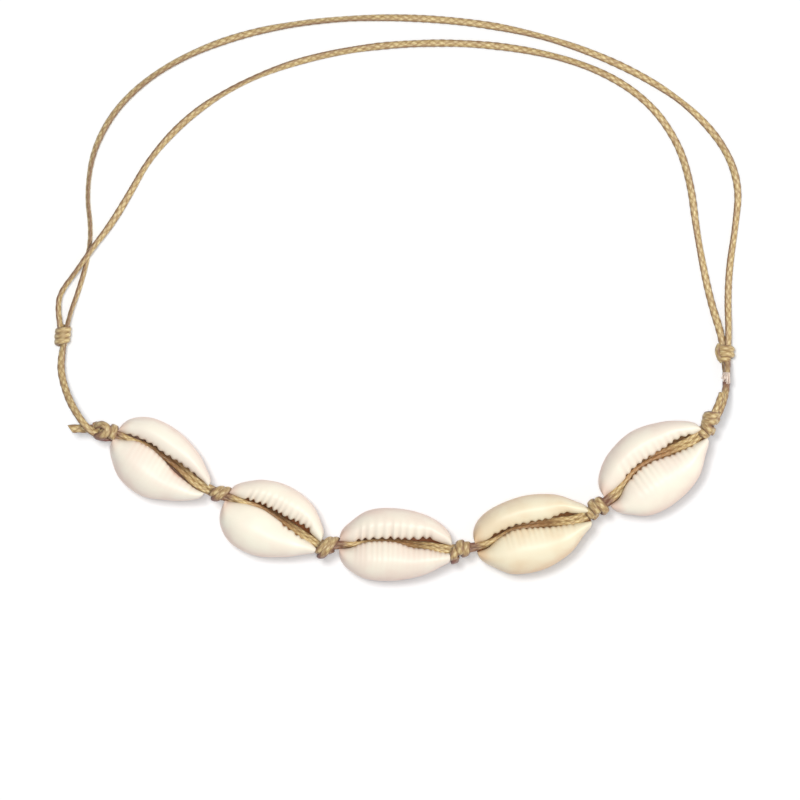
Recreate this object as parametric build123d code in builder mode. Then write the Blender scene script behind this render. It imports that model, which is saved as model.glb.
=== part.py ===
from build123d import *

import math
import os
from collections import namedtuple

# A necklace of five cowrie shells laid flat with their openings up.
# A doubled cord runs through the shells, with an overhand knot in each space between them.
# Beyond the row one cord goes on from each side, and the two overlap round the back of the neck.
# Each is tied round the other in a sliding knot, so that the loop can be drawn smaller.
# +X runs along the row to the viewer's right, +Y goes from the row to the back of the neck, +Z up.

# Cord
cord_diameter = 1.1
strand_gap = 0.1
face_gap = 0.15
arc_share = 0.45

# Shells
shell_wall = 1.2
lip_thickness = 1.6
shell_height = 11.6
cord_level_share = 0.69
cord_clearance = 0.2
tooth_count = 12
tooth_depth = 0.35

# Knots
knot_rim = 0.2
knot_bulge = 0.4
row_knot_wraps = 2
end_knot_wraps = 2
slide_knot_wraps = 3
knot_clearance = 0.75
end_knot_left_clearance = 0.4
end_knot_right_clearance = 0.75
end_knot_left_length = 3.8
end_knot_right_length = 4.2
slide_knot_left_length = 4.4
slide_knot_right_length = 3.8
slide_knot_left_place = (-66.2, 30.6)
slide_knot_right_place = (66.4, 27.0)
slide_knot_left_turn = 85
slide_knot_right_turn = 92
end_knot_left_turn = 150
end_knot_right_turn = 62

# One row for each shell: its middle, its turn in degrees, its length from notch to notch and its
# width, then how far the upper and the lower side stand out at each station, in shares of the width.
Shell = namedtuple("Shell", "name x y turn length width upper lower")
shells = [
    Shell(
        "shell_1", -46.6, 5.2, -31.1, 21.2, 14.8,
        upper=(0.13, 0.33, 0.46, 0.47, 0.37, 0.22, 0.11),
        lower=(0.12, 0.32, 0.49, 0.53, 0.39, 0.24, 0.10),
    ),
    Shell(
        "shell_2", -24.2, -6.6, -28.0, 20.7, 15.6,
        upper=(0.12, 0.26, 0.42, 0.49, 0.43, 0.27, 0.12),
        lower=(0.20, 0.40, 0.51, 0.50, 0.35, 0.19, 0.11),
    ),
    Shell(
        "shell_3", 0.3, -11.8, -2.4, 22.4, 14.8,
        upper=(0.13, 0.33, 0.49, 0.52, 0.45, 0.31, 0.12),
        lower=(0.14, 0.32, 0.45, 0.46, 0.37, 0.24, 0.16),
    ),
    Shell(
        "shell_4", 27.8, -8.8, 15.3, 23.6, 15.8,
        upper=(0.13, 0.33, 0.45, 0.49, 0.41, 0.23, 0.12),
        lower=(0.12, 0.27, 0.45, 0.49, 0.39, 0.20, 0.11),
    ),
    Shell(
        "shell_5", 52.3, 4.2, 34.6, 23.6, 16.7,
        upper=(0.13, 0.32, 0.46, 0.51, 0.41, 0.26, 0.12),
        lower=(0.12, 0.28, 0.45, 0.49, 0.40, 0.21, 0.09),
    ),
]

# One row for each station along a shell, in shares of its length: the lowest and the highest
# point of the section there, in shares of the height. The side is widest at the margin's share.
Station = namedtuple("Station", "along belly crest")
stations = [
    Station(0.00, 0.42, 0.80),
    Station(0.08, 0.24, 0.91),
    Station(0.25, 0.05, 0.98),
    Station(0.50, 0.00, 1.00),
    Station(0.75, 0.06, 0.98),
    Station(0.92, 0.25, 0.91),
    Station(1.00, 0.44, 0.80),
]
margin_share = 0.60

# One row for each point of the opening's two lips: its place along the shell, and where the upper
# and the lower lip end across it, in shares of the width, positive towards the upper side.
Lip = namedtuple("Lip", "along upper lower")
lips = [
    Lip(0.00, 0.060, -0.050),
    Lip(0.14, 0.115, 0.030),
    Lip(0.26, 0.130, 0.080),
    Lip(0.38, 0.135, 0.085),
    Lip(0.50, 0.128, 0.055),
    Lip(0.63, 0.120, -0.020),
    Lip(0.78, 0.105, -0.060),
    Lip(0.90, 0.085, -0.075),
    Lip(1.00, 0.060, -0.060),
]
notch_depth_share = 0.10
first_tooth_share = 0.10
last_tooth_share = 0.88

# The line that a strand of the row takes through a shell: along it, and across it as a share of
# its width. The strand beside it takes the same line.
Way = namedtuple("Way", "along across")
row_way = [
    Way(0.05, 0.005),
    Way(0.16, 0.030),
    Way(0.40, 0.090),
    Way(0.66, 0.060),
    Way(0.86, 0.012),
    Way(0.95, 0.000),
]

# Sizes that follow from the ones above
cord_radius = cord_diameter / 2
strand_offset = (cord_diameter + strand_gap) / 2
notch_width = 2 * cord_diameter + strand_gap + 2 * cord_clearance
cord_level = cord_level_share * shell_height
notch_floor = cord_level - cord_radius - cord_clearance
bore_radius = cord_radius + strand_gap
knot_face_radius = strand_offset + bore_radius + knot_rim
knot_radius = knot_face_radius + knot_bulge

# The neck cords lie on the surface at the height of their own radius. Where the right cord
# crosses the left one it lies on top, and both rise to the row and to the sliding knots.
low = cord_radius
over = low + cord_diameter + strand_gap
slide = knot_radius

# The points that each neck cord takes from its knot at the end of the row to the sliding knot
# that it is tied in, and those that each cut end takes from its knot.
neck_cord_left_way = [
    (-61.40, 14.70, 7.70),
    (-64.60, 18.40, 5.80),
    (-66.20, 23.00, 2.90),
    (-65.91, 26.96, slide),
    (-65.29, 34.14, slide),
    (-63.60, 39.40, low),
    (-61.60, 45.60, low),
    (-60.70, 51.60, low),
    (-61.70, 59.00, low),
    (-60.20, 68.60, low),
    (-54.40, 78.00, low),
    (-44.00, 85.80, low),
    (-29.50, 91.40, low),
    (-12.00, 94.20, low),
    (7.00, 94.30, low),
    (25.50, 91.90, low),
    (42.50, 86.40, low),
    (56.80, 78.60, low),
    (65.60, 69.80, low),
    (69.20, 61.00, low),
    (68.10, 52.00, low),
    (67.00, 44.20, low),
    (66.70, 37.20, low),
    (66.98, 32.40, slide),
]
neck_cord_right_way = [
    (65.75, 16.90, 7.20),
    (66.40, 19.60, 4.60),
    (65.93, 23.30, slide),
    (65.69, 30.20, slide),
    (63.60, 36.80, low),
    (61.90, 44.60, low),
    (60.50, 52.60, low),
    (59.50, 60.80, low),
    (57.00, 69.20, low),
    (51.00, 77.60, low),
    (41.00, 84.00, low),
    (27.00, 88.00, low),
    (10.00, 89.50, low),
    (-8.50, 88.20, low),
    (-25.50, 83.80, low),
    (-39.00, 76.50, low),
    (-48.50, 67.00, low),
    (-53.40, 58.20, low),
    (-57.00, 52.40, 0.95),
    (-60.20, 48.40, over),
    (-63.60, 43.40, over),
    (-66.50, 39.00, 1.50),
    (-66.88, 36.00, slide),
]
row_tail_left_way = [
    (-61.70, 12.85, 7.90),
    (-64.80, 12.05, 7.60),
]
row_tail_right_way = [
    (64.50, 17.20, 7.60),
    (65.05, 19.00, 6.20),
]
slide_tail_right_way = [
    (67.20, 23.40, 2.60),
    (67.05, 21.60, 4.10),
]

os.makedirs("parts", exist_ok=True)


def save(part, name):
    """Labels a finished piece and writes it."""
    part.label = name
    export_step(part, f"parts/{name}.step")


def heading(turn):
    """The level direction at a turn in degrees from +X."""
    return Vector(math.cos(math.radians(turn)), math.sin(math.radians(turn)), 0)


def aside(turn, distance):
    """A step to the right of that direction."""
    return heading(turn - 90) * distance


def in_shell(shell, along, across, height):
    """A place in a shell, from shares of its length and width and a height."""
    middle = Vector(shell.x, shell.y, height)
    return (
        middle
        + heading(shell.turn) * (along - 0.5) * shell.length
        + heading(shell.turn + 90) * across * shell.width
    )


def shell_section(shell, number, wall, lip):
    """A section across a shell: four quarters of ellipses, inside the skin by the wall and the lip."""
    station = stations[number]
    up = shell.upper[number] * shell.width - wall
    down = shell.lower[number] * shell.width - wall
    margin = margin_share * shell_height
    belly = station.belly * shell_height + wall
    crest = station.crest * shell_height - lip
    plane = Plane(
        origin=in_shell(shell, station.along, 0, 0),
        x_dir=heading(shell.turn + 90),
        z_dir=heading(shell.turn),
    )
    with BuildSketch(plane) as section:
        with BuildLine():
            EllipticalCenterArc((0, margin), up, crest - margin, start_angle=0, arc_size=90)
            EllipticalCenterArc((0, margin), down, crest - margin, start_angle=90, arc_size=90)
            EllipticalCenterArc((0, margin), down, margin - belly, start_angle=180, arc_size=90)
            EllipticalCenterArc((0, margin), up, margin - belly, start_angle=270, arc_size=90)
        make_face()
    return section.sketch


def lip_edge(shell, side):
    """The corners of one lip, with a notch beside each tooth."""
    column = [getattr(lip, side) for lip in lips]
    shares = [lip.along for lip in lips]
    outward = 1 if side == "upper" else -1
    edge = [(lips[0].along, column[0], 0)]
    steps = 2 * tooth_count
    for step in range(steps + 1):
        along = first_tooth_share + (last_tooth_share - first_tooth_share) * step / steps
        after = next(i for i in range(len(shares)) if shares[i] > along)
        before = after - 1
        part_way = (along - shares[before]) / (shares[after] - shares[before])
        across = column[before] + (column[after] - column[before]) * part_way
        edge.append((along, across, outward * tooth_depth * (step % 2)))
    edge.append((lips[-1].along, column[-1], 0))
    return [
        ((along - 0.5) * shell.length, across * shell.width + notch)
        for along, across, notch in edge
    ]


def make_shell(shell):
    """A hollow cowrie with its toothed opening up, and a notch at each end for the cords."""
    top = Plane(
        origin=(shell.x, shell.y, notch_floor),
        x_dir=heading(shell.turn),
        z_dir=(0, 0, 1),
    )
    inner_stations = range(1, len(stations) - 1)
    hollow = loft([shell_section(shell, i, shell_wall, lip_thickness) for i in inner_stations])
    with BuildPart() as body:
        loft([shell_section(shell, i, 0, 0) for i in range(len(stations))])
        add(hollow, mode=Mode.SUBTRACT)
        with BuildSketch(top):
            with BuildLine():
                upper = lip_edge(shell, "upper")
                lower = lip_edge(shell, "lower")
                Polyline(*upper, *reversed(lower), close=True)
            make_face()
        extrude(amount=shell_height, mode=Mode.SUBTRACT)
        notch_depth = notch_depth_share * shell.length
        with BuildSketch(top):
            for end in (row_way[0], row_way[-1]):
                side = 1 if end.along > 0.5 else -1
                with Locations((side * shell.length / 2, end.across * shell.width)):
                    Rectangle(2 * notch_depth, notch_width)
        extrude(amount=shell_height, mode=Mode.SUBTRACT)
    return body.part


def make_cord(route, name):
    """A round cord along straight runs joined by tangent arcs, which take up most of each run."""
    points = [Vector(place) for place in route]
    radii = []
    for before, here, after in zip(points, points[1:], points[2:]):
        turn = math.radians((here - before).get_angle(after - here))
        shorter = min((here - before).length, (after - here).length)
        radii.append(arc_share * shorter / math.tan(turn / 2))
    with BuildPart() as cord:
        with BuildLine() as path:
            FilletPolyline(*points, radius=radii)
        way = path.wire()
        with BuildSketch(Plane(origin=way @ 0, z_dir=way % 0)):
            Circle(cord_radius)
        sweep(path=way)
    length = way.length
    print(name, "length", round(length, 1), "radii", [round(radius, 1) for radius in radii])
    print(name, "ends", [round(value, 2) for value in (*points[0], *points[-1])])
    share = cord.part.volume / (math.pi * cord_radius**2 * length)
    print(name, "volume as a share of section times length", round(share, 4))
    return cord.part


Knot = namedtuple("Knot", "middle turn length wraps bore", defaults=(None,))


def make_knot(knot):
    """A knot as a body of rounded wraps, with a flat face at each end where the strands come in."""
    half = knot.length / 2
    wrap_length = knot.length / knot.wraps
    side = aside(knot.turn, 1)
    with BuildPart() as body:
        with BuildSketch(Plane(origin=knot.middle, x_dir=side, z_dir=(0, 0, 1))):
            with BuildLine():
                Line((0, half), (0, -half))
                Line((0, -half), (knot_face_radius, -half))
                for wrap in range(knot.wraps):
                    start = wrap * wrap_length - half
                    ThreePointArc(
                        (knot_face_radius, start),
                        (knot_radius, start + wrap_length / 2),
                        (knot_face_radius, start + wrap_length),
                    )
                Line((knot_face_radius, half), (0, half))
            make_face()
        revolve(axis=Axis(knot.middle, heading(knot.turn)))
        if knot.bore is not None:
            with BuildSketch(Plane(origin=knot.middle, x_dir=side, z_dir=heading(knot.turn))):
                with Locations((knot.bore, 0)):
                    Circle(bore_radius)
            extrude(amount=half, both=True, mode=Mode.SUBTRACT)
    return body.part


def strand_end(knot, end, offset):
    """Where a strand meets a knot's face: at its far end for 1 and its near end for -1."""
    reach = knot.length / 2 + face_gap
    return knot.middle + heading(knot.turn) * end * reach + aside(knot.turn, offset)


for shell in shells:
    save(make_shell(shell), shell.name)

# The knots at the ends of the row hold the doubled cord and let one cord of it go on.
left_notch = in_shell(shells[0], 0, 0, cord_level)
right_notch = in_shell(shells[-1], 1, 0, cord_level)
left_reach = end_knot_left_clearance + end_knot_left_length / 2
right_reach = end_knot_right_clearance + end_knot_right_length / 2
end_knot_left = Knot(
    left_notch + heading(end_knot_left_turn) * left_reach,
    end_knot_left_turn,
    end_knot_left_length,
    end_knot_wraps,
)
end_knot_right = Knot(
    right_notch + heading(end_knot_right_turn) * right_reach,
    end_knot_right_turn,
    end_knot_right_length,
    end_knot_wraps,
)
save(make_knot(end_knot_left), "end_knot_left")
save(make_knot(end_knot_right), "end_knot_right")

# The knots between two shells sit midway between their notches.
row_knots = []
for number, (first, second) in enumerate(zip(shells, shells[1:]), 1):
    start = in_shell(first, 1, 0, cord_level)
    span = in_shell(second, 0, 0, cord_level) - start
    turn = math.degrees(math.atan2(span.Y, span.X))
    knot = Knot(start + span * 0.5, turn, span.length - 2 * knot_clearance, row_knot_wraps)
    row_knots.append(knot)
    save(make_knot(knot), f"row_knot_{number}")

# Two strands go through each shell, from the knot on one side of it to the knot on the other.
# The left end knot points away from the row, so the strands leave it at its near end.
from_left = end_knot_left._replace(turn=end_knot_left_turn + 180)
knots = [from_left, *row_knots, end_knot_right]
for number, shell in enumerate(shells, 1):
    for letter, offset in (("a", -strand_offset), ("b", strand_offset)):
        route = [strand_end(knots[number - 1], 1, offset)]
        for way in row_way:
            place = in_shell(shell, way.along, way.across, cord_level)
            route.append(place + aside(shell.turn, offset))
        route.append(strand_end(knots[number], -1, offset))
        name = f"row_strand_{number}{letter}"
        save(make_cord(route, name), name)

# The sliding knots lie on the surface, each with the other cord passing through it.
slide_knot_left = Knot(
    Vector(*slide_knot_left_place, slide),
    slide_knot_left_turn,
    slide_knot_left_length,
    slide_knot_wraps,
    strand_offset,
)
slide_knot_right = Knot(
    Vector(*slide_knot_right_place, slide),
    slide_knot_right_turn,
    slide_knot_right_length,
    slide_knot_wraps,
    -strand_offset,
)
save(make_knot(slide_knot_left), "slide_knot_left")
save(make_knot(slide_knot_right), "slide_knot_right")

neck_cord_left_route = [
    strand_end(end_knot_left, 1, strand_offset),
    *neck_cord_left_way,
    strand_end(slide_knot_right, 1, strand_offset),
]
neck_cord_right_route = [
    strand_end(end_knot_right, 1, strand_offset),
    *neck_cord_right_way,
    strand_end(slide_knot_left, 1, -strand_offset),
]
row_tail_left_route = [strand_end(end_knot_left, 1, -strand_offset), *row_tail_left_way]
row_tail_right_route = [strand_end(end_knot_right, 1, -strand_offset), *row_tail_right_way]
slide_tail_right_route = [strand_end(slide_knot_right, -1, strand_offset), *slide_tail_right_way]
save(make_cord(neck_cord_left_route, "neck_cord_left"), "neck_cord_left")
save(make_cord(neck_cord_right_route, "neck_cord_right"), "neck_cord_right")
save(make_cord(row_tail_left_route, "row_tail_left"), "row_tail_left")
save(make_cord(row_tail_right_route, "row_tail_right"), "row_tail_right")
save(make_cord(slide_tail_right_route, "slide_tail_right"), "slide_tail_right")
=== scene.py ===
import math

import bmesh
import bpy
from mathutils import Matrix, Vector
from mathutils.noise import noise


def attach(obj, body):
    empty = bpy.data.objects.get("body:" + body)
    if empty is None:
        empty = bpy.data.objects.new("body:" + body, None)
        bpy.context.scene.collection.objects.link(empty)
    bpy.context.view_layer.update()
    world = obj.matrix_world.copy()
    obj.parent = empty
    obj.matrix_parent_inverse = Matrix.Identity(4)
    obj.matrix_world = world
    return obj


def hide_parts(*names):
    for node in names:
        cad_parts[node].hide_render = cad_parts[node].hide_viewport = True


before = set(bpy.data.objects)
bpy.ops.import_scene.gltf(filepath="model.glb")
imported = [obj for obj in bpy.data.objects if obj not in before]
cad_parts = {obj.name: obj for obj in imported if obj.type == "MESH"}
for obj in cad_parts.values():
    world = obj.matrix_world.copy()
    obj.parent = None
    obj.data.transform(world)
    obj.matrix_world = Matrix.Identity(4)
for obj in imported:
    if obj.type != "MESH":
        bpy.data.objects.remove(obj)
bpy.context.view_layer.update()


# THE SHELLS are five small cowries with a natural porcelain gloss, lying on their domed backs.
# Each is one curled wall of shell whose two thick lips roll in to a toothed opening, and at both
# ends the opening runs out in a notch where the cords go in.
shell_height = 0.0116
shell_wall = 0.0012
margin_height = 0.60 * shell_height
least_room = 0.0004
lip_drop = 0.0021
lip_roll = 0.0010
crown_share = 0.46
roof_walls = 2.1
rings_along = 190
stations_along = (0.0, 0.08, 0.25, 0.5, 0.75, 0.92, 1.0)
belly_heights = (0.44, 0.25, 0.05, 0.0, 0.06, 0.26, 0.46)
crest_heights = (0.79, 0.89, 0.975, 1.0, 0.975, 0.89, 0.79)
opening_along = (0.0, 0.10, 0.20, 0.35, 0.50, 0.65, 0.80, 0.92, 1.0)

# Middle, turn in degrees, length and width, then how far the upper and the lower side stand out at
# the stations, and where the two lips end across the opening, in shares of the width. On the first
# shell one more entry says from where to where, and how far from its edge, a lower lip takes the
# painted shade of the inside.
shell_forms = {
    "shell_1": dict(
        middle=(-0.0466, 0.0052), turn=-31.1, length=0.0212, width=0.0148,
        upper=(0.115, 0.34, 0.46, 0.475, 0.37, 0.22, 0.095),
        lower=(0.10, 0.305, 0.48, 0.53, 0.39, 0.24, 0.09),
        upper_lip=(0.058, 0.085, 0.12, 0.134, 0.115, 0.115, 0.095, 0.080, 0.052),
        lower_lip=(-0.050, 0.000, 0.072, 0.090, 0.050, -0.016, -0.050, -0.068, -0.055),
        upper_teeth=dict(count=10, first=0.117, last=0.823, depth=0.00052, reach=0.30),
        lower_teeth=dict(count=14, first=0.20, last=0.92, depth=0.00004, reach=0.85),
        inside_ledge=(0.56, 0.78, 0.50),
        cream=(0.905, 0.850, 0.735), body=(0.890, 0.795, 0.695), shade_colour=(0.810, 0.610, 0.505),
        inside_shade=((0.720, 0.400, 0.270), (0.860, 0.600, 0.480)),
    ),
    "shell_2": dict(
        middle=(-0.0242, -0.0066), turn=-28.0, length=0.0207, width=0.0156,
        upper=(0.105, 0.27, 0.42, 0.49, 0.43, 0.27, 0.105),
        lower=(0.12, 0.38, 0.51, 0.50, 0.35, 0.19, 0.10),
        upper_lip=(0.052, 0.062, 0.088, 0.120, 0.120, 0.120, 0.120, 0.074, 0.050),
        lower_lip=(-0.055, -0.012, 0.035, 0.070, 0.052, 0.018, -0.008, -0.022, -0.050),
        upper_teeth=dict(count=11, first=0.184, last=0.842, depth=0.00066, reach=0.70),
        lower_teeth=dict(count=3, first=0.618, last=0.812, depth=0.00052, reach=0.28),
        cream=(0.920, 0.878, 0.745), body=(0.905, 0.826, 0.705), shade_colour=(0.815, 0.620, 0.515),
        inside_shade=((0.660, 0.230, 0.080), (0.820, 0.360, 0.150)),
    ),
    "shell_3": dict(
        middle=(0.0003, -0.0118), turn=-2.4, length=0.0224, width=0.0148,
        upper=(0.110, 0.30, 0.48, 0.525, 0.45, 0.31, 0.10),
        lower=(0.115, 0.32, 0.45, 0.46, 0.37, 0.24, 0.14),
        upper_lip=(0.050, 0.040, 0.066, 0.096, 0.100, 0.106, 0.122, 0.076, 0.050),
        lower_lip=(-0.055, -0.034, 0.035, 0.072, 0.066, 0.006, -0.010, -0.040, -0.060),
        upper_teeth=dict(count=9, first=0.156, last=0.81, depth=0.00058, reach=0.80),
        lower_teeth=dict(count=17, first=0.14, last=0.95, depth=0.00012, reach=0.90),
        cream=(0.868, 0.805, 0.690), body=(0.852, 0.750, 0.650), shade_colour=(0.765, 0.560, 0.465),
        inside_shade=((0.620, 0.210, 0.095), (0.780, 0.330, 0.165)),
    ),
    "shell_4": dict(
        middle=(0.0278, -0.0088), turn=15.3, length=0.0236, width=0.0158,
        upper=(0.115, 0.33, 0.438, 0.470, 0.395, 0.23, 0.10),
        lower=(0.10, 0.27, 0.45, 0.495, 0.39, 0.20, 0.095),
        upper_lip=(0.050, 0.056, 0.100, 0.130, 0.122, 0.102, 0.120, 0.074, 0.050),
        lower_lip=(-0.060, -0.040, 0.030, 0.090, 0.060, 0.010, -0.020, -0.046, -0.060),
        upper_teeth=dict(count=10, first=0.18, last=0.83, depth=0.00048, reach=0.30),
        lower_teeth=dict(count=12, first=0.26, last=0.84, depth=0.00022, reach=0.55),
        cream=(0.855, 0.778, 0.585), body=(0.815, 0.688, 0.490), shade_colour=(0.720, 0.500, 0.300),
        inside_shade=((0.640, 0.270, 0.100), (0.800, 0.400, 0.170)),
    ),
    "shell_5": dict(
        middle=(0.0523, 0.0042), turn=34.6, length=0.0236, width=0.0167,
        upper=(0.115, 0.32, 0.46, 0.51, 0.41, 0.26, 0.10),
        lower=(0.10, 0.28, 0.45, 0.49, 0.40, 0.21, 0.085),
        upper_lip=(0.052, 0.060, 0.082, 0.134, 0.136, 0.124, 0.120, 0.064, 0.050),
        lower_lip=(-0.068, -0.058, 0.018, 0.084, 0.080, 0.022, -0.020, -0.046, -0.060),
        upper_teeth=dict(count=10, first=0.26, last=0.885, depth=0.00044, reach=0.60),
        lower_teeth=dict(count=11, first=0.28, last=0.85, depth=0.00030, reach=0.65),
        cream=(0.890, 0.838, 0.715), body=(0.875, 0.785, 0.680), shade_colour=(0.780, 0.580, 0.480),
        inside_shade=((0.680, 0.360, 0.155), (0.820, 0.480, 0.220)),
    ),
}

# The parts of the wall that one side of a shell goes through, and the steps that each is cut into:
# outside from the lip's edge to the middle of the back, and inside the same way.
outside_parts = (("lip", 12), ("crest", 20), ("side", 18), ("back", 20))
inside_parts = (("under", 6), ("inner side", 8), ("inner back", 10))
wall_steps = []
for side, parts, outward in (
    ("upper", outside_parts, True),
    ("lower", outside_parts, False),
    ("lower", inside_parts, True),
    ("upper", inside_parts, False),
):
    for part, count in parts if outward else reversed(parts):
        shares = [i / count for i in range(count)]
        wall_steps += [(side, part, share if outward else 1 - share) for share in shares]


def between(places, values, place):
    """The value at a place, on a smooth line through the values."""
    last = len(places) - 2
    spot = next((i for i in range(last) if places[i + 1] > place), last)
    before, after = max(spot - 1, 0), min(spot + 2, last + 1)
    width = places[spot + 1] - places[spot]
    share = (place - places[spot]) / width
    lead_in = (values[spot + 1] - values[before]) / (places[spot + 1] - places[before]) * width
    lead_out = (values[after] - values[spot]) / (places[after] - places[spot]) * width
    return (
        values[spot] * (1 + 2 * share) * (1 - share) ** 2
        + lead_in * share * (1 - share) ** 2
        + values[spot + 1] * share**2 * (3 - 2 * share)
        + lead_out * share**2 * (share - 1)
    )


def quarter(start, end, corner, share):
    """A point of the quarter of an ellipse from start to end that bulges towards the corner."""
    across, up = math.sin(share * math.pi / 2), math.cos(share * math.pi / 2)
    return start + (corner - start) * across + (end - corner) * (1 - up)


def groove_cut(along, from_edge, teeth, seed):
    """How deep the groove between two teeth is at a place on a lip, from 0 to 1."""
    pitch = (teeth["last"] - teeth["first"]) / teeth["count"]
    spot = (along - teeth["first"]) / pitch
    nearest = round(spot)
    fade = max(0.0, 1 - from_edge / (2 * teeth["reach"])) ** 1.6
    if not 0 <= nearest <= teeth["count"] or fade == 0:
        return 0.0
    drift = 0.26 * noise(Vector((nearest * 1.7, seed * 5.3, 0.5)))
    spread = 0.24 + 0.12 * min(from_edge, 1.0)
    strength = 0.85 + 0.5 * noise(Vector((nearest * 2.1, seed, 3.0)))
    return math.exp(-(((spot - nearest - drift) / spread) ** 2)) * fade * strength


swings = [math.acos(1 - 2 * place) / math.pi for place in stations_along]
for number, (name, form) in enumerate(shell_forms.items()):
    bm = bmesh.new()
    bmesh.ops.create_grid(bm, x_segments=rings_along, y_segments=len(wall_steps), size=1)
    # The finish reads these at each point and paints shade by each: how far inside or on the ledge
    # it is, how deep in a groove at the lip's edge, how far round to the margin or the left end,
    # and how deep between two ribs.
    inner = bm.verts.layers.float.new("inner")
    groove = bm.verts.layers.float.new("groove")
    flank = bm.verts.layers.float.new("flank")
    rib = bm.verts.layers.float.new("rib")
    length, width = form["length"], form["width"]
    turned = Matrix.Rotation(math.radians(form["turn"]), 4, "Z")
    placed = Matrix.Translation((*form["middle"], 0)) @ turned
    for vert in bm.verts:
        ring = round((vert.co.x + 1) / 2 * rings_along)
        step = round((vert.co.y + 1) / 2 * len(wall_steps)) % len(wall_steps)
        side, part, share = wall_steps[step]
        seed = 2 * number + (side == "lower")
        swing = ring / rings_along
        along = (1 - math.cos(math.pi * swing)) / 2
        reach = {key: between(swings, form[key], swing) * width for key in ("upper", "lower")}
        sign = 1 if side == "upper" else -1
        edge = sign * between(opening_along, form[side + "_lip"], along) * width
        out = reach[side]
        keel = sign * (reach["upper"] - reach["lower"]) / 2
        crest = between(swings, crest_heights, swing) * shell_height
        back = between(swings, belly_heights, swing) * shell_height
        wall = shell_wall * min(1.0, 0.12 + 1.6 * math.sin(math.pi * swing))

        room = max(out - edge, least_room)
        crown = edge + crown_share * room
        edge_height = crest - min(lip_drop, 0.62 * room)
        roll = min(lip_roll, 0.35 * room)
        roof = crest - roof_walls * wall
        if part == "lip":
            point = Vector((edge + 0.1 * roll * (1 - share) ** 2, edge_height - roll * (1 - share)))
        elif part == "crest":
            point = quarter(
                Vector((edge, edge_height)), Vector((crown, crest)), Vector((edge, crest)), share
            )
        elif part == "side":
            point = quarter(
                Vector((crown, crest)), Vector((out, margin_height)), Vector((out, crest)), share
            )
        elif part == "back":
            point = quarter(
                Vector((out, margin_height)), Vector((keel, back)), Vector((out, back)), share
            )
        elif part == "under":
            low = Vector((edge + 0.1 * roll, edge_height - roll))
            point = Vector((low.x + (crown - low.x) * share, low.y + (roof - low.y) * share**2))
        elif part == "inner side":
            point = quarter(
                Vector((crown, roof)), Vector((out - wall, margin_height)),
                Vector((out - wall, roof)), share,
            )
        else:
            point = quarter(
                Vector((out - wall, margin_height)), Vector((keel, back + wall)),
                Vector((out - wall, back + wall)), share,
            )

        from_edge = {"lip": 0.0, "crest": share, "side": 1 + share}.get(part, 9.0)
        cut = groove_cut(along, from_edge, form[side + "_teeth"], seed)
        facing = {"crest": share, "side": 1.0}.get(part, 0.0) * math.pi / 2
        deep = form[side + "_teeth"]["depth"] * cut
        point += Vector((math.cos(facing), -math.sin(facing))) * deep
        if from_edge > 1:
            swell = noise(Vector((along * 4, point.x * 260, point.y * 200 + seed * 3)))
            point.x *= 1 + 0.012 * swell * math.sin(math.pi * swing)
        vert.co = placed @ Vector(((along - 0.5) * length, sign * point.x, point.y))
        # Groove and rib carry painted shade, in the grooves between the teeth at the lip's edge and
        # between the ribs.
        vert[groove] = cut * max(0.0, 1 - from_edge / 0.4) ** 1.5
        vert[rib] = cut
        # Inner carries painted shade, on the inside and on the lip's rolled edge.
        vert[inner] = {"lip": 0.7 * (1 - share)}.get(part, 1.0 if from_edge > 8 else 0.0)
        if part == "back":
            vert[inner] = 0.0
        # Flank carries painted shade towards the margin and at the left end, which the light from
        # the right leaves darker.
        vert[flank] = {"side": 0.55 * share**1.5, "back": 0.55 - 0.25 * share}.get(part, 0.0)
        vert[flank] = max(vert[flank], 0.48 * (1 - along / 0.13))
        # On the first shell a stretch of a lower lip's edge takes the inside's painted shade as
        # well.
        first, last, broad = form.get("inside_ledge", (0, 0, 0))
        if side == "lower" and first < along < last:
            ledge = broad * math.sin(math.pi * (along - first) / (last - first)) ** 0.6
            vert[inner] = max(vert[inner], min(0.8, 3.0 * (ledge - from_edge)))

    bmesh.ops.remove_doubles(bm, verts=bm.verts, dist=1e-6)
    bmesh.ops.holes_fill(bm, edges=[edge for edge in bm.edges if edge.is_boundary], sides=0)
    bmesh.ops.recalc_face_normals(bm, faces=bm.faces)
    mesh = bpy.data.meshes.new("looks_" + name)
    bm.to_mesh(mesh)
    bm.free()
    mesh.shade_smooth()
    form["piece"] = bpy.data.objects.new("looks_" + name, mesh)
    bpy.context.collection.objects.link(form["piece"])
    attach(form["piece"], "root")
    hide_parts(name)


class Amount:
    """A number that varies over a surface, and the node sums that can be done with it."""

    def __init__(self, recipe, socket):
        self.recipe = recipe
        self.socket = socket

    def sum(self, operation, first, second):
        return self.recipe.node("Math", {"operation": operation}, {0: first, 1: second})

    def __add__(self, other):
        return self.sum("ADD", self, other)

    def __sub__(self, other):
        return self.sum("SUBTRACT", self, other)

    def __rsub__(self, other):
        return self.sum("SUBTRACT", other, self)

    def __mul__(self, other):
        return self.sum("MULTIPLY", self, other)

    def __pow__(self, other):
        return self.sum("POWER", self, other)

    __radd__ = __add__
    __rmul__ = __mul__


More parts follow.
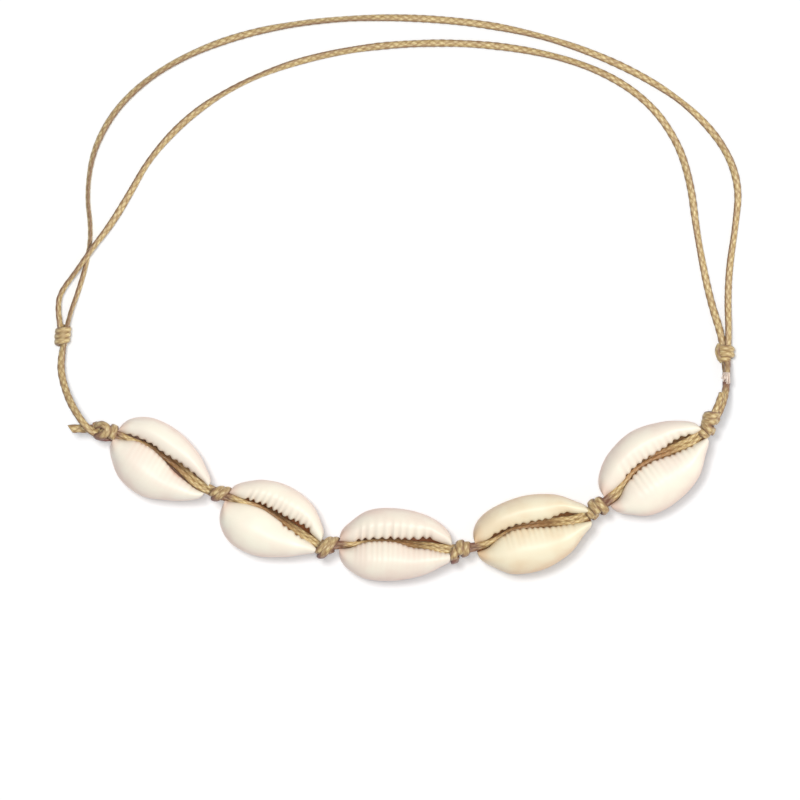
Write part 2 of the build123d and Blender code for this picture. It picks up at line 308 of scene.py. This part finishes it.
class Recipe:
    """The nodes that one material is made of."""

    def __init__(self, name):
        self.material = bpy.data.materials.new(name)
        self.material.use_nodes = True
        self.nodes = self.material.node_tree.nodes
        self.nodes.clear()

    def node(self, kind, settings, sockets, out=0):
        """Adds a node with its settings, then fills its sockets with values or links.

        A ramp's stops start with the lowest and the highest, which every ramp has.
        """
        node = self.nodes.new("ShaderNode" + kind)
        for key, value in settings.items():
            if key == "stops":
                for spot, (place, colour) in enumerate(value):
                    ramp = node.color_ramp.elements
                    stop = ramp[spot] if spot < 2 else ramp.new(place)
                    stop.position = place
                    stop.color = (*colour, 1)
            else:
                setattr(node, key, value)
        for key, value in sockets.items():
            if isinstance(value, Amount):
                self.material.node_tree.links.new(value.socket, node.inputs[key])
            elif isinstance(value, tuple) and node.inputs[key].type == "RGBA":
                node.inputs[key].default_value = (*value, 1)
            else:
                node.inputs[key].default_value = value
        return Amount(self, node.outputs[out]) if len(node.outputs) else None

    def blend(self, share, first, second):
        """One colour where the share is 0, the other where it is 1."""
        return self.node("Mix", {"data_type": "RGBA"}, {0: share, 6: first, 7: second}, 2)

    def mark(self, name):
        """A number that the piece carries at each point."""
        return self.node("Attribute", {"attribute_name": name}, {}, "Fac")

    def cloud(self, place, scale, detail, stretch=(1, 1, 1), turn=0.0):
        """A soft random pattern at a scale in patches to the metre."""
        turned = self.node(
            "Mapping", {}, {"Vector": place, "Scale": stretch, "Rotation": (0, 0, turn)}
        )
        return self.node("TexNoise", {}, {"Vector": turned, "Scale": scale, "Detail": detail})

    def finish(self, base, gloss, height, relief, **fixed):
        """The surface itself: colour, roughness and relief vary, the rest is the same all over."""
        bump = self.node("Bump", {}, {"Height": height, "Distance": relief, "Strength": 1.0})
        sockets = {"Base Color": base, "Roughness": gloss, "Normal": bump, **fixed}
        surface = self.node("BsdfPrincipled", {}, sockets)
        self.node("OutputMaterial", {}, {"Surface": surface})
        return self.material


# The wall is ivory. Towards the margin and at the left end it takes a warm, darker painted shade,
# and so do the grooves between the ribs. The grooves between the teeth, the inside and a ledge of
# the lower lip take brown painted shade, warmed inside as if by light bounced off the cord.
groove_shade = (0.430, 0.165, 0.065)
for name, form in shell_forms.items():
    recipe = Recipe("cowrie " + name[-1])
    place = recipe.node("TexCoord", {}, {}, "Object")
    patches = recipe.cloud(place, 190, 3)
    grain = recipe.cloud(place, 1500, 4)
    veins = recipe.cloud(place, 420, 5, (1, 1, 0.35), math.radians(-form["turn"]))
    tints = recipe.cloud(place, 95, 2)
    tint = recipe.node(
        "MapRange", {"interpolation_type": "SMOOTHSTEP"},
        {"Value": 0.6 * tints + 0.4 * patches, 1: 0.40, 2: 0.60, 3: 0.0, 4: 1.0},
    )
    body = recipe.blend(tint, form["cream"], form["body"])
    # Painted shade: towards the margin and at the left end the wall turns to the darker shade
    # colour.
    flank = recipe.mark("flank")
    margin_shade = recipe.node(
        "MapRange", {"interpolation_type": "SMOOTHSTEP"},
        {"Value": flank + 0.22 * patches, 1: 0.16, 2: 0.62, 3: 0.0, 4: 1.0},
    )
    # The grooves between the ribs take painted shade in the shade colour.
    rib = recipe.mark("rib")
    body = recipe.blend(margin_shade * (0.75 + 0.4 * veins) + 0.45 * rib, body, form["shade_colour"])
    # Painted shade in the grooves between the teeth.
    groove = recipe.mark("groove")
    body = recipe.blend(groove * 0.95, body, groove_shade)
    # Painted shade inside the shell, warmed as if by light bounced off the cord.
    inner = recipe.mark("inner")
    inside_shade = recipe.blend(patches, *form["inside_shade"])
    body = recipe.blend(inner ** 1.4, body, inside_shade)
    gloss = 0.38 + 0.10 * grain + 0.20 * inner
    finish = recipe.finish(
        body, gloss, 0.5 * grain + veins, 0.00002,
        **{"IOR": 1.48, "Coat Weight": 0.10, "Coat Roughness": 0.25},
    )
    form["piece"].data.materials.append(finish)


# THE STRANDS OF THE ROW are one doubled cord of waxed and braided cotton, a little flattened,
# which runs through each shell from notch to notch. The two strands lie side by side at the
# notches and cross over below the narrow middle.
cord_width = 0.00132
cord_thickness = 0.00100
strand_offset = 0.00050
knot_height = 0.0080
braid_lobes = 4
lobe_length = 0.00185
lobe_rise = 0.00009
ring_gap = 0.00013
cut_rings = 8
table_clearance = 0.00002
nowhere = ((0.0, 0.0), (1.0, 0.0))

# A knot of the row takes plum painted shade on the side that faces away from the light, to this
# depth, and every knot is tinted with at least this much of the plum colour.
lit_side = Vector((0.52, 0.68, 0.48))
shade_depth = 0.0014
least_plum = 0.12


def smooth_line(places, gap=ring_gap):
    """Points at even gaps along a NURBS line that has the places as its control points."""
    curve = bpy.data.curves.new("line", "CURVE")
    curve.dimensions = "3D"
    spline = curve.splines.new("NURBS")
    spline.points.add(len(places) - 1)
    for point, place in zip(spline.points, places):
        point.co = (*place, 1)
    spline.order_u = 3
    spline.use_endpoint_u = True
    spline.resolution_u = 20
    holder = bpy.data.objects.new("line", curve)
    mesh = bpy.data.meshes.new_from_object(holder)
    dense = [vertex.co.copy() for vertex in mesh.vertices]
    bpy.data.objects.remove(holder)
    bpy.data.curves.remove(curve)
    bpy.data.meshes.remove(mesh)
    gone = [0.0]
    for before, after in zip(dense, dense[1:]):
        gone.append(gone[-1] + (after - before).length)
    count = max(4, round(gone[-1] / gap))
    line, spot = [], 0
    for step in range(count + 1):
        target = gone[-1] * step / count
        while spot < len(dense) - 2 and gone[spot + 1] < target:
            spot += 1
        share = (target - gone[spot]) / max(gone[spot + 1] - gone[spot], 1e-9)
        line.append(dense[spot].lerp(dense[spot + 1], min(share, 1.0)))
    return line


def braided_cord(
    name, lines, seed=0, sides=24, roll=0.9, flat=1.0, size=1.0, cut=0.0, core=None, finish=None,
    facing=nowhere, weave=0.85, edges=0.85, slot_shaded=nowhere, plum_shaded=nowhere, under=0.0,
):
    """Lengths of braided cord along lines of even points, as one piece.

    A cord that is wound lies flat on its core, which is a place and a heading. The far end of a
    cord may be cut at a slant. Facing gives how many degrees the flat cord is rolled at shares of
    its length, weave how far its lobes stand up and how strongly their painted light and shade
    show, and edges how much painted shade darkens it along its sides. The two lists after them give
    at shares of its length how much brown painted shade it takes deep in a shell's opening and how
    much plum painted shade it takes, and under how far up from below a knot takes plum painted
    shade, on the side turned away from the light.
    """
    bm = bmesh.new()
    crown = bm.verts.layers.float.new("crown")
    lay = bm.verts.layers.float.new("lay")
    rim = bm.verts.layers.float.new("rim")
    brown = bm.verts.layers.float.new("brown")
    plum = bm.verts.layers.float.new("plum")
    wrap = bm.loops.layers.uv.new("along")
    for order, line in enumerate(lines):
        rings = len(line) - 1
        gap = (line[1] - line[0]).length
        made = bmesh.ops.create_grid(bm, x_segments=rings, y_segments=sides, size=1)["verts"]
        headings = [(after - before).normalized() for before, after in zip(line, line[1:])]
        headings.append(headings[-1])
        up = Vector((0, 0, 1))
        frames = []
        for point, heading in zip(line, headings):
            if core:
                up = point - core[0]
                up = (up - core[1] * up.dot(core[1])).normalized()
            up = (up - heading * up.dot(heading)).normalized()
            frames.append((heading.cross(up), up))
        spots = {}
        for vert in made:
            ring = round((vert.co.x + 1) / 2 * rings)
            turn = round((vert.co.y + 1) / 2 * sides)
            spots[vert] = (ring, turn)
        for face in {face for vert in made for face in vert.link_faces}:
            for loop in face.loops:
                ring, turn = spots[loop.vert]
                loop[wrap].uv = (ring * gap * 1000, turn / sides)
        for vert, (ring, turn) in spots.items():
            gone = ring * gap
            angle = 2 * math.pi * turn / sides
            across, over = frames[ring]
            tilt = math.radians(between(*zip(*facing), ring / rings))
            tilt += roll * noise(Vector((gone * 70, seed + 9.1 * order, 0.3)))
            sway = 0.5 * noise(Vector((gone * 330, seed + 2.3 * order, 5.0)))
            one = braid_lobes * angle / 2 + math.pi * gone / lobe_length + sway
            two = braid_lobes * angle / 2 - math.pi * gone / lobe_length + 0.6 * sway
            cells = math.floor(one / math.pi + 0.5) + math.floor(two / math.pi + 0.5)
            long, short = (one, two) if cells % 2 else (two, one)
            rise = abs(math.cos(long)) ** 0.45 * abs(math.cos(short)) ** 0.9
            swell = 1 + 0.06 * noise(Vector((gone * 160, seed + 4.7 * order, 7.0)))
            half = Vector((
                flat * cord_width / 2 * math.cos(angle),
                cord_thickness / (2 * flat) * math.sin(angle),
            ))
            half *= size * swell * (1 + (rise - 0.5) * 2 * weave * lobe_rise / cord_width)
            half.rotate(Matrix.Rotation(tilt, 2))
            vert.co = line[ring] + across * half.x + over * half.y
            near_end = max(0.0, 1 - (rings - ring) / cut_rings)
            vert.co += headings[ring] * cut * near_end * half.x / cord_width
            vert.co.z = max(vert.co.z, table_clearance)
            # Crown carries painted light on the tops of the lobes and painted shade between them,
            # and rim painted shade along the cord's sides.
            vert[crown] = 0.74 * (1 - weave) + weave * rise
            vert[lay] = cells % 2
            vert[rim] = edges * abs(math.cos(angle)) ** 3
            # These two carry painted shade: brown deep in a shell's opening, plum near and under
            # the knots.
            vert[brown] = between(*zip(*slot_shaded), ring / rings)
            vert[plum] = between(*zip(*plum_shaded), ring / rings)
            if under:
                away = vert.co - core[0]
                away -= core[1] * away.dot(core[1])
                below = under - away.dot(lit_side) / shade_depth
                vert[plum] = max(least_plum, min(1.0, below))
    bmesh.ops.remove_doubles(bm, verts=bm.verts, dist=1e-7)
    bmesh.ops.holes_fill(bm, edges=[edge for edge in bm.edges if edge.is_boundary], sides=0)
    bmesh.ops.recalc_face_normals(bm, faces=bm.faces)
    mesh = bpy.data.meshes.new(name)
    bm.to_mesh(mesh)
    bm.free()
    mesh.shade_smooth()
    mesh.materials.append(finish or waxed_cotton)
    piece = bpy.data.objects.new(name, mesh)
    bpy.context.collection.objects.link(piece)
    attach(piece, "root")
    return piece


# Waxed cotton: tan, with painted light where the braid stands up and painted shade between its
# lobes and along its sides, with fine fibres that follow the lobes. It takes brown painted shade
# deep in the shells' openings, and plum painted shade under and near the knots and under the frayed
# tip.
recipe = Recipe("waxed cotton")
crown = recipe.mark("crown")
lay = recipe.mark("lay")
rim = recipe.mark("rim")
place = recipe.node("UVMap", {"uv_map": "along"}, {})
fibres_one = recipe.cloud(place, 1, 3, (1.1, 26.0, 1.0))
fibres_two = recipe.cloud(place, 1, 3, (1.3, 31.0, 1.0), 0.2)
fibres = fibres_one * lay + fibres_two * (1 - lay)
patches = recipe.cloud(place, 1, 2, (0.45, 2.0, 1.0))
# The tone: painted shade between the lobes, painted light on their tops.
tone = recipe.node(
    "ValToRGB",
    {"stops": (
        (0.05, (0.095, 0.038, 0.018)),
        (0.92, (0.815, 0.690, 0.375)),
        (0.34, (0.305, 0.172, 0.072)),
        (0.60, (0.560, 0.412, 0.185)),
    )},
    {"Fac": (0.34 + 0.62 * crown) * (0.02 + 1.66 * fibres)},
)
tone = recipe.blend(
    recipe.node("MapRange", {}, {"Value": patches, 1: 0.40, 2: 0.75, 3: 0.0, 4: 0.50}),
    tone, (0.330, 0.195, 0.095),
)
# Painted shade along the cord's sides, where strands and wraps lie against each other.
tone = recipe.blend(rim, tone, (0.195, 0.092, 0.052))
# Brown painted shade deep in a shell's opening.
tone = recipe.blend(
    0.80 * recipe.mark("brown"), tone,
    recipe.blend(fibres, (0.160, 0.060, 0.020), (0.620, 0.320, 0.130)),
)
# Plum painted shade under and near the knots, and under the frayed tip.
tone = recipe.blend(
    recipe.mark("plum") * (0.45 + 0.9 * patches), tone,
    recipe.blend(fibres, (0.045, 0.012, 0.012), (0.320, 0.130, 0.105)),
)
waxed_cotton = recipe.finish(
    tone, 0.62 - 0.22 * crown, crown + 0.5 * fibres, 0.00005,
    **{"Coat Weight": 0.12, "Coat Roughness": 0.35, "Sheen Weight": 0.1},
)

# Where each pair of strands starts and ends at the knots, and how it goes through its shell: its
# place along the shell, across it as a share of its width, its height and its twist in half turns.
strand_ends = {
    "shell_1": ((-0.05720, 0.01160), (-0.03560, -0.00090)),
    "shell_2": ((-0.03520, -0.00120), (-0.01370, -0.01160)),
    "shell_3": ((-0.01260, -0.01140), (0.01320, -0.01230)),
    "shell_4": ((0.01420, -0.01210), (0.04050, -0.00440)),
    "shell_5": ((0.04120, -0.00380), (0.06300, 0.01280)),
}
strand_ways = {
    "shell_1": (
        (0.06, 0.005, 0.0081, 0.20), (0.18, 0.045, 0.0080, 0.40), (0.32, 0.110, 0.0071, 0.55),
        (0.48, 0.096, 0.0064, 0.65), (0.62, 0.090, 0.0066, 0.80), (0.76, 0.050, 0.0078, 0.95),
        (0.90, -0.006, 0.0083, 0.95),
    ),
    "shell_2": (
        (0.06, 0.010, 0.0082, 0.35), (0.18, 0.030, 0.0082, 0.42), (0.32, 0.085, 0.0073, 0.50),
        (0.48, 0.078, 0.0062, 0.60), (0.62, 0.054, 0.0066, 0.70), (0.76, 0.036, 0.0078, 0.75),
        (0.90, 0.008, 0.0083, 0.75),
    ),
    "shell_3": (
        (0.06, 0.000, 0.0080, 0.45), (0.18, 0.028, 0.0074, 0.50), (0.32, 0.076, 0.0060, 0.55),
        (0.48, 0.074, 0.0056, 0.60), (0.66, 0.036, 0.0062, 0.65), (0.80, 0.034, 0.0080, 0.72),
        (0.92, -0.004, 0.0084, 0.80),
    ),
    "shell_4": (
        (0.06, 0.000, 0.0082, 0.40), (0.18, 0.025, 0.0080, 0.45), (0.32, 0.100, 0.0070, 0.55),
        (0.48, 0.096, 0.0060, 0.70), (0.60, 0.074, 0.0062, 0.85), (0.74, 0.036, 0.0082, 1.00),
        (0.90, -0.006, 0.0083, 0.85),
    ),
    "shell_5": (
        (0.06, 0.000, 0.0083, 0.05), (0.18, 0.020, 0.0083, 0.25), (0.30, 0.098, 0.0080, 0.45),
        (0.42, 0.120, 0.0076, 0.60), (0.54, 0.108, 0.0074, 0.75), (0.66, 0.068, 0.0076, 0.90),
        (0.78, 0.036, 0.0082, 1.00), (0.90, 0.002, 0.0084, 1.00),
    ),
}
for number, (name, form) in enumerate(shell_forms.items()):
    turn = math.radians(form["turn"])
    ahead = Vector((math.cos(turn), math.sin(turn), 0))
    aside = Vector((-math.sin(turn), math.cos(turn), 0))
    start, end = strand_ends[name]
    for letter, sign in (("a", 1), ("b", -1)):
        route = []
        for along, across, height, twist in strand_ways[name]:
            place = Vector((*form["middle"], height)) + ahead * (along - 0.5) * form["length"]
            place += aside * across * form["width"]
            swing = twist * math.pi
            apart = aside * math.cos(swing) + Vector((0, 0, 1)) * math.sin(swing)
            route.append(place + apart * sign * strand_offset)
        for spot, knot, swap in ((0, start, 1), (len(route) + 1, end, -1)):
            route.insert(spot, Vector((*knot, knot_height)) + aside * sign * swap * strand_offset)
        # Near the knots the strands take plum painted shade, and deep in the shell's opening brown
        # painted shade.
        piece = braided_cord(
            f"looks_row_strand_{number + 1}{letter}", [smooth_line(route)], seed=number + sign,
            size=0.86, roll=0.5, weave=0.7, edges=0.55,
            plum_shaded=((0, 1), (0.08, 0.8), (0.15, 0), (0.93, 0), (1, 0.8)),
            slot_shaded=((0, 0), (0.20, 0.0), (0.36, 0.8), (0.60, 0.9), (0.74, 0.1), (1, 0)),
        )
        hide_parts(f"row_strand_{number + 1}{letter}")


# THE KNOTS OF THE ROW are tied in the doubled cord: an overhand knot between each two shells, and
# a larger one at each end of the row. They are pulled tight, so their wraps lie close together and
# lean over.

# Each wrap has where it starts and ends along the knot, how far it stands to the left, its radius
# at the start and at the end, how much it leans, the turn that it starts at and how many turns it
# makes. Sizes are in mm. Under is how far up from below the knot takes plum painted shade.
knot_forms = {
    "row_knot_1": dict(
        middle=(-0.03480, -0.00110, 0.0080), turn=-12.0, under=0.42,
        wraps=((-1.15, 1.25, -0.05, 1.30, 1.40, 0.62, 0.0, 2.05),),
    ),
    "row_knot_2": dict(
        middle=(-0.01330, -0.01180, 0.0080), turn=2.0, under=0.38,
        wraps=((-1.35, 1.20, -0.10, 1.90, 1.70, 0.72, 0.0, 2.05),),
    ),
    "row_knot_3": dict(
        middle=(0.01370, -0.01220, 0.0080), turn=14.0, under=0.38,
        wraps=(
            (-2.05, -1.40, -0.85, 1.55, 1.50, 0.50, 0.05, 1.1),
            (-0.90, 1.15, 0.05, 1.62, 1.20, 0.10, 0.0, 1.6),
        ),
    ),
    "row_knot_4": dict(
        middle=(0.04080, -0.00400, 0.0080), turn=43.0, under=0.34,
        wraps=(
            (-1.95, -1.35, -0.10, 1.30, 1.30, 0.10, 0.1, 1.0),
            (-0.80, 1.30, 0.15, 1.72, 1.85, -0.06, 0.0, 1.6),
        ),
    ),
    "end_knot_left": dict(
        middle=(-0.05780, 0.01140, 0.0081), turn=150.0, under=0.38,
        wraps=(
            (-1.80, -1.15, -0.20, 1.55, 1.55, -0.15, 0.5, -1.1),
            (-0.80, 1.40, 0.25, 1.15, 1.10, 0.15, 0.0, -1.6),
        ),
    ),
    "end_knot_right": dict(
        middle=(0.06335, 0.01342, 0.0080), turn=62.0, under=0.15,
        wraps=(
            (-3.00, -2.50, -0.10, 1.10, 1.10, 0.15, 0.0, 1.1),
            (-1.80, -1.20, -0.35, 1.48, 1.55, 0.35, 0.0, 1.1),
            (-0.10, 0.15, -0.15, 1.50, 1.48, -0.42, 0.0, 1.1),
            (0.95, 1.35, 0.10, 1.50, 1.40, -0.50, 0.0, 1.1),
        ),
    ),
}


def wound(form, seed):
    """The lines of a knot's wraps, and the core that they lie on."""
    turn = math.radians(form["turn"])
    ahead = Vector((math.cos(turn), math.sin(turn), 0))
    aside = Vector((-math.sin(turn), math.cos(turn), 0))
    middle = Vector(form["middle"])
    lines = []
    for start, end, shift, near, far, lean, first, turns in form["wraps"]:
        steps = round(8 * abs(turns))
        places = []
        for step in range(steps + 1):
            share = step / steps
            swing = 2 * math.pi * (first + share * turns)
            # The two ends of a wrap are tucked in under it.
            tucked = min(1.0, 0.42 + 5.0 * min(share, 1 - share) * abs(turns) * 0.58)
            wander = 1 + 0.05 * noise(Vector((step * 0.9, seed, start)))
            belly = 0.99 + 0.10 * math.sin(math.pi * share)
            reach = belly * (near + (far - near) * share) * tucked * wander
            across = -reach * math.cos(swing)
            along = start + (end - start) * share + lean * across
            along += 0.10 * noise(Vector((step * 0.8, seed + 4.0, start)))
            place = middle + ahead * along * 0.001 + aside * (across + shift) * 0.001
            places.append(place + Vector((0, 0, 0.001 * reach * math.sin(swing))))
        lines.append(smooth_line(places))
    lines += [smooth_line(places) for places in form.get("bights", ())]
    return lines, (middle, ahead)


# Two bights of the cord lie over the left end knot.
knot_forms["end_knot_left"]["bights"] = (
    ((-0.0598, 0.0124, 0.0079), (-0.0592, 0.0127, 0.0089), (-0.0580, 0.0127, 0.0097),
     (-0.0572, 0.0119, 0.0099), (-0.0575, 0.0109, 0.0099), (-0.0586, 0.0103, 0.0096),
     (-0.0597, 0.0100, 0.0086), (-0.0594, 0.0103, 0.0075)),
    ((-0.0599, 0.0109, 0.0084), (-0.0595, 0.0101, 0.0083), (-0.0582, 0.0097, 0.0080),
     (-0.0568, 0.0099, 0.0078), (-0.0560, 0.0108, 0.0075)),
)
for number, (name, form) in enumerate(knot_forms.items()):
    lines, core = wound(form, 3.0 * number)
    # The knot takes plum painted shade from below, on the side turned away from the light.
    piece = braided_cord(
        "looks_" + name, lines, seed=20 + number, roll=0.25, flat=1.25, core=core, weave=0.72,
        edges=1.0, under=form["under"],
    )
    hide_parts(name)


# THE CUT ENDS of the row's cord: at each end of the row one of its two strands is cut off beside
# the end knot, at a slant, and left to stick out.
tails = {
    "row_tail_left": dict(
        ways=((-0.0586, 0.0117, 0.0086), (-0.0600, 0.0118, 0.0081), (-0.0618, 0.0119, 0.0077),
              (-0.0634, 0.0119, 0.0077), (-0.0648, 0.0118, 0.0076)),
        flat=1.25, cut=0.0008,
    ),
    "row_tail_right": dict(
        ways=((0.0637, 0.0144, 0.0088), (0.0645, 0.0159, 0.0088), (0.0651, 0.0174, 0.0082),
              (0.0656, 0.0188, 0.0070)),
        flat=1.05, cut=-0.0002,
    ),
}
for number, (name, form) in enumerate(tails.items()):
    piece = braided_cord(
        "looks_" + name, [smooth_line(form["ways"])], seed=31 + number, roll=0.3,
        flat=form["flat"], cut=form["cut"],
    )
    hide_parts(name)


# THE SLIDING KNOTS AND THE CORDS ROUND THE NECK: each end of the row's cord goes on round the neck
# and is tied round the other one in a knot of about three wraps that slides along it. Both cords
# lie loose on the table, and cross once.
slide_forms = {
    "slide_knot_left": dict(
        middle=(-0.06642, 0.03045, 0.00185), turn=85.0,
        wraps=((-1.75, 1.80, 0.0, 1.12, 1.18, -0.06, 0.0, -3.4),),
    ),
    "slide_knot_right": dict(
        middle=(0.06640, 0.02700, 0.00190), turn=92.0,
        wraps=((-1.50, 1.50, 0.0, 1.25, 1.48, 0.0, 0.0, 2.75),),
        bights=(
            ((0.0653, 0.0287, 0.0027), (0.0647, 0.0279, 0.0028), (0.0649, 0.0265, 0.0029),
             (0.0658, 0.0253, 0.0026)),
        ),
    ),
}
for number, (name, form) in enumerate(slide_forms.items()):
    lines, core = wound(form, 40.0 + number)
    piece = braided_cord(
        "looks_" + name, lines, seed=41 + number, roll=0.2, flat=1.02, core=core, weave=0.65,
        edges=0.95,
    )
    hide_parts(name)

# The end of the left cord sticks out below the right sliding knot, and its tip is frayed.
frayed_ways = (
    (0.0668, 0.0262, 0.0024), (0.0668, 0.0247, 0.0032), (0.0667, 0.0236, 0.0042),
    (0.0667, 0.0228, 0.0046),
)
# The stuck-out end takes plum painted shade, most next to the knot.
frayed_end = braided_cord(
    "looks_slide_tail_right", [smooth_line(frayed_ways)], seed=44, roll=0.2, weave=0.6,
    plum_shaded=((0, 0.7), (0.6, 0.5), (1, 0.2)),
)
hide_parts("slide_tail_right")

recipe = Recipe("frayed cotton")
place = recipe.node("UVMap", {"uv_map": "along"}, {})
streaks = recipe.cloud(place, 1, 3, (1.0, 9.0, 1.0))
raw_cotton = recipe.finish(
    recipe.blend(streaks ** 1.5, (0.640, 0.470, 0.360), (0.980, 0.930, 0.880)),
    0.75 - 0.2 * streaks, streaks, 0.00002, **{"Sheen Weight": 0.3},
)
fibre_count = 40
fibres = []
for fibre in range(fibre_count):
    side = noise(Vector((fibre * 3.7, 1.0, 0.5))) * 1.7
    lift = noise(Vector((fibre * 2.9, 5.0, 0.5))) * 1.2
    reach = 0.00130 + 0.0013 * noise(Vector((fibre * 1.3, 9.0, 0.5))) + 0.0004 * side
    splay = 0.00045 * noise(Vector((fibre * 5.1, 3.0, 0.5)))
    root = Vector((0.0666 + side * 0.00050, 0.0231, 0.0048 + lift * 0.0003))
    tip = Vector((0.06645 + side * 0.00062 + splay, 0.0230 - reach, 0.0056 + lift * 0.0005))
    middle = (root + tip) / 2 + Vector((-0.5 * splay + 0.0001 * lift, 0, 0.0003))
    fibres.append(smooth_line((root, middle, tip), gap=0.0002))
frayed_tip = braided_cord(
    "looks_frayed_tip", fibres, seed=45, sides=8, roll=2.0, size=0.18, finish=raw_cotton
)

# The ways of the neck cords, from the row's end knots to the sliding knots.
neck_ways = {
    "neck_cord_left": (
        (-0.05830, 0.01080, 0.00810), (-0.05990, 0.01080, 0.00860), (-0.06160, 0.01230, 0.00900),
        (-0.06330, 0.01460, 0.00830), (-0.06520, 0.01790, 0.00600), (-0.06680, 0.02300, 0.00290),
        (-0.06660, 0.02700, 0.00185), (-0.06520, 0.03430, 0.00185), (-0.06330, 0.03930, 0.00055),
        (-0.06145, 0.04560, 0.00055), (-0.06070, 0.05160, 0.00055), (-0.06170, 0.05900, 0.00055),
        (-0.06020, 0.06860, 0.00055), (-0.05440, 0.07800, 0.00055), (-0.04400, 0.08580, 0.00055),
        (-0.02950, 0.09140, 0.00055), (-0.01200, 0.09420, 0.00055), (0.00700, 0.09430, 0.00055),
        (0.02550, 0.09190, 0.00055), (0.04250, 0.08640, 0.00055), (0.05680, 0.07860, 0.00055),
        (0.06560, 0.06980, 0.00055), (0.06930, 0.06100, 0.00055), (0.06840, 0.05200, 0.00055),
        (0.06720, 0.04420, 0.00055), (0.06690, 0.03720, 0.00055), (0.06705, 0.03240, 0.00185),
        (0.06698, 0.02907, 0.00185), (0.06690, 0.02750, 0.00185),
    ),
    "neck_cord_right": (
        (0.06430, 0.01380, 0.00800), (0.06500, 0.01512, 0.00790), (0.06575, 0.01690, 0.00700),
        (0.06652, 0.01960, 0.00420), (0.06665, 0.02330, 0.00130), (0.06575, 0.03020, 0.00185),
        (0.06360, 0.03680, 0.00055), (0.06190, 0.04460, 0.00055), (0.06050, 0.05260, 0.00055),
        (0.05950, 0.06080, 0.00055), (0.05700, 0.06920, 0.00055), (0.05100, 0.07760, 0.00055),
        (0.04100, 0.08400, 0.00055), (0.02700, 0.08800, 0.00055), (0.01000, 0.08950, 0.00055),
        (-0.00850, 0.08820, 0.00055), (-0.02550, 0.08380, 0.00055), (-0.03900, 0.07650, 0.00055),
        (-0.04850, 0.06700, 0.00055), (-0.05340, 0.05820, 0.00055), (-0.05700, 0.05240, 0.00095),
        (-0.06020, 0.04840, 0.00175), (-0.06370, 0.04340, 0.00175), (-0.06700, 0.03900, 0.00150),
        (-0.06735, 0.03590, 0.00185), (-0.06700, 0.03310, 0.00185), (-0.06680, 0.03150, 0.00185),
    ),
}
neck_lay = {
    "neck_cord_left": dict(
        facing=(
            (0.0, 0.0), (0.06, 0.0), (0.11, 70.0), (0.20, 80.0), (0.30, 40.0), (0.60, 20.0),
            (0.80, 0.0), (1.0, 0.0),
        ),
    ),
    "neck_cord_right": dict(
        facing=((0.0, 0.0), (0.40, 0.0), (0.55, 20.0), (0.75, 60.0), (0.90, 60.0), (1.0, 70.0)),
        # A plum painted shadow lies across the cord under the frayed tip.
        plum_shaded=(
            (0, 0), (0.030, 0.1), (0.040, 0.9), (0.046, 0.8), (0.055, 0.2), (0.07, 0), (1, 0),
        ),
    ),
}
for number, (name, ways) in enumerate(neck_ways.items()):
    line = smooth_line(ways)
    length = sum((after - before).length for before, after in zip(line, line[1:]))
    piece = braided_cord(
        "looks_" + name, [line], seed=51 + number, flat=1.12, weave=0.75, **neck_lay[name]
    )
    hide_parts(name)


# THE FLOOR, LIGHT AND CAMERA: the necklace lies on a plain white table under soft studio light,
# seen from straight above.
bm = bmesh.new()
bmesh.ops.create_grid(bm, x_segments=1, y_segments=1, size=2)
mesh = bpy.data.meshes.new("table")
bm.to_mesh(mesh)
bm.free()
recipe = Recipe("white table")
place = recipe.node("TexCoord", {}, {}, "Object")
haze = recipe.cloud(place, 6, 2)
mesh.materials.append(
    recipe.finish(
        recipe.blend(haze, (0.945, 0.960, 0.975), (0.955, 0.970, 0.985)), 0.85 + 0.1 * haze, haze,
        0.00001, **{"Specular IOR Level": 0.1},
    )
)
table = bpy.data.objects.new("table", mesh)
bpy.context.collection.objects.link(table)

camera = bpy.data.cameras.new("camera")
camera.sensor_width = 36
camera.lens = 675
camera.clip_end = 20
eye = bpy.data.objects.new("camera", camera)
eye.location = (0.0012, 0.0176, 3.008)
bpy.context.collection.objects.link(eye)
bpy.context.scene.camera = eye

# The photograph's light comes from the right, but its shadows fall to the lower right as well. So
# one lamp lights the necklace alone, another one, on the left, the table alone, and a third one
# above the camera both.
lit_table = bpy.data.collections.new("table alone")
lit_table.objects.link(table)
lit_pieces = bpy.data.collections.new("all but the table")
lit_pieces.objects.link(table)
lit_pieces.collection_objects[0].light_linking.link_state = "EXCLUDE"
lamps = {
    "right lamp": dict(
        place=(0.62, 0.08, 1.14), size=0.45, power=10.0, colour=(1.0, 0.97, 0.90),
        lights=lit_pieces,
    ),
    "left lamp": dict(
        place=(-0.35, 0.36, 2.52), size=0.45, power=29.5, colour=(1.0, 0.99, 0.975),
        lights=lit_table,
    ),
    "top lamp": dict(
        place=(0.0, 0.02, 3.30), size=0.40, power=29.0, colour=(1.0, 0.99, 0.97),
        lights=None,
    ),
}
for name, form in lamps.items():
    light = bpy.data.lights.new(name, "AREA")
    light.size = form["size"]
    light.energy = form["power"]
    light.color = form["colour"]
    lamp = bpy.data.objects.new(name, light)
    lamp.location = form["place"]
    aim = Vector((0, 0.02, 0)) - lamp.location
    lamp.rotation_euler = aim.to_track_quat("-Z", "Y").to_euler()
    lamp.light_linking.receiver_collection = form["lights"]
    bpy.context.collection.objects.link(lamp)

world = bpy.data.worlds.new("room")
world.use_nodes = True
room = world.node_tree.nodes["Background"].inputs
room["Color"].default_value = (0.965, 0.975, 1.0, 1)
room["Strength"].default_value = 0.40
bpy.context.scene.world = world
bpy.context.scene.view_settings.view_transform = "Standard"
